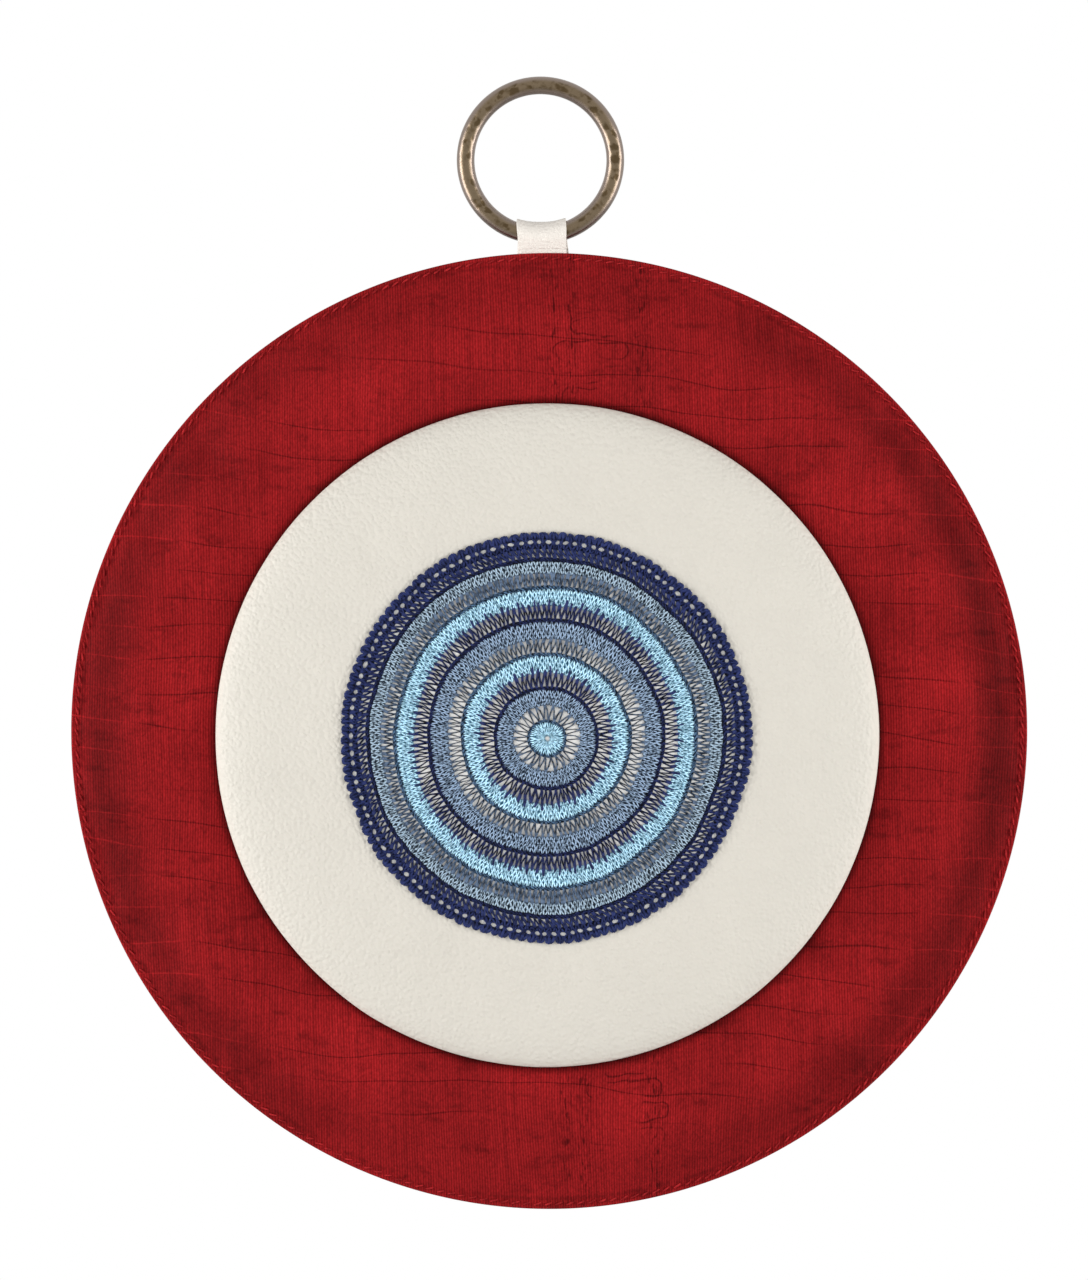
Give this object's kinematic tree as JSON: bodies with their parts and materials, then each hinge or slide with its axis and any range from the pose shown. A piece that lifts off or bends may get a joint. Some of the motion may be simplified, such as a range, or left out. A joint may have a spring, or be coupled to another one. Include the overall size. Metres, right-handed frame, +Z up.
{
  "type": "evil eye ornament",
  "caption": "Round red cloth wall hanging with a padded cream leather medallion, a crocheted blue eye and a brass hanging ring in a leather tab.",
  "frame": {"origin": "the point of the ring's inner edge that rests on the hook, at the top of the ring's hole", "axes": "+Z up, the front faces -Y, +X to the right as seen from the front"},
  "size_m": [0.29, 0.018, 0.3435],
  "materials": {
    "brass_ring": "satin",
    "tab_leather": "satin",
    "cream_leather": "satin",
    "red_cloth": "satin",
    "red_lining": "matte",
    "red_thread": "satin",
    "greyboard": "matte",
    "wadding": "matte",
    "sky_yarn": "satin",
    "slate_yarn": "satin",
    "pale_slate_yarn": "satin",
    "teal_yarn": "satin",
    "grey_yarn": "satin",
    "navy_yarn": "satin"
  },
  "bodies": {
    "ring": {"hanging_ring": "brass_ring"},
    "loop": {"tab_loop": "tab_leather"},
    "panel": {"tab_tails": "tab_leather", "medallion_leather": "cream_leather", "front_cover": "red_cloth", "back_cover": "red_lining", "front_wadding": "wadding", "core_board": "greyboard", "medallion_foam": "wadding", "medallion_board": "greyboard", "medallion_glue_pad": "wadding", "rim_needle_thread": "red_thread", "rim_bobbin_thread": "red_thread", "sky_centre": "sky_yarn", "teal_line_1": "teal_yarn", "grey_spokes_1": "grey_yarn", "slate_round_1": "slate_yarn", "navy_line_1": "navy_yarn", "navy_spokes_1": "navy_yarn", "sky_round_1": "sky_yarn", "teal_line_2": "teal_yarn", "grey_spokes_2": "grey_yarn", "slate_round_2": "slate_yarn", "navy_line_2": "navy_yarn", "navy_spokes_2": "navy_yarn", "sky_round_2": "sky_yarn", "blue_line": "teal_yarn", "grey_spokes_3": "grey_yarn", "pale_slate_round": "pale_slate_yarn", "navy_line_3": "navy_yarn", "navy_spokes_3": "navy_yarn", "navy_edge": "navy_yarn"}
  },
  "joints": [
    {"name": "ring_turn", "type": "hinge", "parent": "ring", "child": "loop", "pos_m": [0, 0, -0.02], "axis": [0, 1, 0], "continuous": true},
    {"name": "ring_swing", "type": "hinge", "parent": "loop", "child": "panel", "pos_m": [0, 0, -0.0427], "axis": [1, 0, 0], "range_deg": [-90, 90]}
  ]
}
